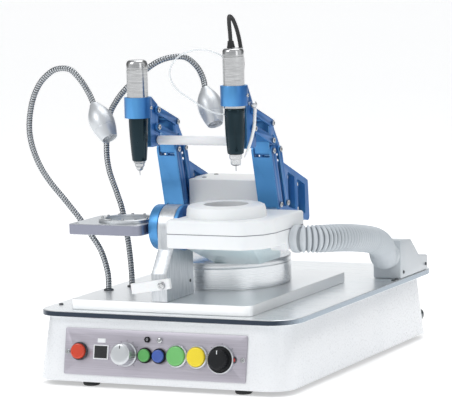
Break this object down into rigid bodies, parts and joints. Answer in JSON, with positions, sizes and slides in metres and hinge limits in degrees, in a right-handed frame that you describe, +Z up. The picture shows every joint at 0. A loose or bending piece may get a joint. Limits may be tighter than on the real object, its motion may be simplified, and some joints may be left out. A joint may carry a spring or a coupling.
{
  "type": "dental copy-milling machine",
  "caption": "Bench-top manual copy mill for dental blocks: linked arms carry a tracer over a model plate and a spindle over a suction bowl, on a cabinet with button panel and lamps.",
  "frame": {"origin": "middle of the bounding box, at the level the feet stand on", "axes": "+X to the operator's right, +Y from the control panel to the back, +Z up"},
  "size_m": [0.521, 0.6284, 0.549],
  "materials": {
    "white_paint": "gloss white",
    "dark_steel": "satin",
    "brushed_aluminium": "brushed",
    "machined_aluminium": "machined satin",
    "panel_grey": "brushed lavender grey",
    "black_rubber": "matt",
    "black_plastic": "gloss",
    "white_plastic": "satin",
    "hose_grey": "matt ribbed",
    "box_grey": "satin",
    "chrome": "polished",
    "silver_metal": "satin",
    "blue_anodised": "anodised",
    "red_plastic": "gloss",
    "green_plastic": "gloss",
    "blue_plastic": "gloss",
    "yellow_plastic": "gloss",
    "clear_tube": "clear"
  },
  "bodies": {
    "base": {"base_shell": "white_paint", "bottom_plate": "dark_steel", "top_plate": "brushed_aluminium", "raised_plate": "brushed_aluminium", "control_panel": "panel_grey", "foot_front_left": "black_rubber", "foot_front_right": "black_rubber", "foot_rear_left": "black_rubber", "foot_rear_right": "black_rubber", "rear_bumper": "black_rubber", "power_inlet": "black_plastic", "pedestal_drum": "brushed_aluminium", "suction_funnel": "white_paint", "arm_column": "machined_aluminium", "upright": "machined_aluminium", "suction_tray": "white_plastic", "suction_cover": "white_plastic", "suction_hose": "hose_grey", "hose_outlet_box": "box_grey", "gooseneck_left": "chrome", "gooseneck_right": "chrome", "lamp_head_left": "silver_metal", "lamp_head_right": "silver_metal"},
    "tilt_table": {"tilt_hub": "blue_anodised", "model_plate": "machined_aluminium", "block_frame": "machined_aluminium"},
    "model_holder": {"model_ring": "machined_aluminium"},
    "block_holder": {"block_ring": "machined_aluminium"},
    "lock_lever": {"lock_lever": "white_plastic"},
    "stop_button": {"stop_button": "red_plastic"},
    "small_green_button": {"small_green_button": "green_plastic"},
    "small_blue_button": {"small_blue_button": "blue_plastic"},
    "green_button": {"green_button": "green_plastic"},
    "yellow_button": {"yellow_button": "yellow_plastic"},
    "speed_knob": {"speed_knob": "silver_metal"},
    "mode_knob": {"mode_knob": "black_plastic"},
    "carriage": {"carriage_beam": "white_plastic", "side_frame_left": "blue_anodised", "side_frame_right": "blue_anodised"},
    "front_links": {"front_link_left": "blue_anodised", "front_link_right": "blue_anodised"},
    "rear_links": {"rear_link_left": "blue_anodised", "rear_link_right": "blue_anodised"},
    "elbows": {"elbow_left": "blue_anodised", "elbow_right": "blue_anodised"},
    "upper_links": {"upper_link_left": "blue_anodised", "upper_link_right": "blue_anodised"},
    "lower_links": {"lower_link_left": "blue_anodised", "lower_link_right": "blue_anodised"},
    "wrists": {"wrist_left": "blue_anodised", "wrist_right": "blue_anodised", "cross_tube": "white_plastic", "tracer_body": "chrome", "tracer_nose": "black_plastic", "mill_body": "chrome", "mill_nose": "black_plastic", "spindle_cable": "black_rubber", "coolant_tube": "clear_tube", "coolant_nozzle": "white_plastic"},
    "bur": {"mill_bur": "chrome"}
  },
  "joints": [
    {"name": "carriage_slide", "type": "slide", "parent": "base", "child": "carriage", "axis": [1, 0, 0], "range_m": [-0.025, 0.02]},
    {"name": "leg_swing", "type": "hinge", "parent": "carriage", "child": "front_links", "pos_m": [0.0244, -0.0713, 0.254], "axis": [1, 0, 0], "range_deg": [-10, 10]},
    {"name": "rear_leg_pivot", "type": "hinge", "parent": "carriage", "child": "rear_links", "pos_m": [0.0244, -0.0453, 0.254], "axis": [1, 0, 0], "range_deg": [-10, 10]},
    {"name": "elbow_pivot", "type": "hinge", "parent": "front_links", "child": "elbows", "pos_m": [0.0244, -0.0933, 0.338], "axis": [1, 0, 0], "range_deg": [-10, 10]},
    {"name": "forearm_swing", "type": "hinge", "parent": "elbows", "child": "upper_links", "pos_m": [0.0244, -0.0933, 0.38], "axis": [1, 0, 0], "range_deg": [-3, 36]},
    {"name": "lower_link_pivot", "type": "hinge", "parent": "elbows", "child": "lower_links", "pos_m": [0.0244, -0.0933, 0.354], "axis": [1, 0, 0], "range_deg": [-3, 36]},
    {"name": "wrist_pivot", "type": "hinge", "parent": "upper_links", "child": "wrists", "pos_m": [0.0244, -0.1593, 0.404], "axis": [1, 0, 0], "range_deg": [-36, 3]},
    {"name": "bur_spin", "type": "hinge", "parent": "wrists", "child": "bur", "pos_m": [0.1039, -0.1943, 0.33], "axis": [0, 0, 1], "continuous": true},
    {"name": "table_tilt", "type": "hinge", "parent": "base", "child": "tilt_table", "pos_m": [0.0184, -0.2073, 0.233], "axis": [1, 0, 0], "range_deg": [-12, 12]},
    {"name": "model_turn", "type": "hinge", "parent": "tilt_table", "child": "model_holder", "pos_m": [-0.0716, -0.2073, 0.2405], "axis": [0, 0, 1], "continuous": true},
    {"name": "block_turn", "type": "hinge", "parent": "tilt_table", "child": "block_holder", "pos_m": [0.0874, -0.2073, 0.2405], "axis": [0, 0, 1], "continuous": true},
    {"name": "lock_lever_turn", "type": "hinge", "parent": "base", "child": "lock_lever", "pos_m": [0.0164, -0.2733, 0.155], "axis": [0, 1, 0], "range_deg": [-5, 30]},
    {"name": "stop_press", "type": "slide", "parent": "base", "child": "stop_button", "axis": [0, 0.9827, -0.1852], "range_m": [0, 0.0025], "stiffness_N_per_m": 400, "springref_m": -0.002},
    {"name": "small_green_press", "type": "slide", "parent": "base", "child": "small_green_button", "axis": [0, 0.9827, -0.1852], "range_m": [0, 0.0025], "stiffness_N_per_m": 400, "springref_m": -0.002},
    {"name": "small_blue_press", "type": "slide", "parent": "base", "child": "small_blue_button", "axis": [0, 0.9827, -0.1852], "range_m": [0, 0.0025], "stiffness_N_per_m": 400, "springref_m": -0.002},
    {"name": "green_press", "type": "slide", "parent": "base", "child": "green_button", "axis": [0, 0.9827, -0.1852], "range_m": [0, 0.0025], "stiffness_N_per_m": 400, "springref_m": -0.002},
    {"name": "yellow_press", "type": "slide", "parent": "base", "child": "yellow_button", "axis": [0, 0.9827, -0.1852], "range_m": [0, 0.0025], "stiffness_N_per_m": 400, "springref_m": -0.002},
    {"name": "speed_turn", "type": "hinge", "parent": "base", "child": "speed_knob", "pos_m": [-0.0396, -0.28619, 0.05103], "axis": [0, -0.9827, 0.1852], "range_deg": [-140, 140]},
    {"name": "mode_turn", "type": "hinge", "parent": "base", "child": "mode_knob", "pos_m": [0.1154, -0.28628, 0.05053], "axis": [0, -0.9827, 0.1852], "range_deg": [-45, 45]}
  ],
  "couplings": [
    {"joint": "rear_leg_pivot", "follows": "leg_swing", "ratio": 1},
    {"joint": "elbow_pivot", "follows": "leg_swing", "ratio": -1},
    {"joint": "lower_link_pivot", "follows": "forearm_swing", "ratio": 1},
    {"joint": "wrist_pivot", "follows": "forearm_swing", "ratio": -1},
    {"joint": "block_turn", "follows": "model_turn", "ratio": 1}
  ]
}
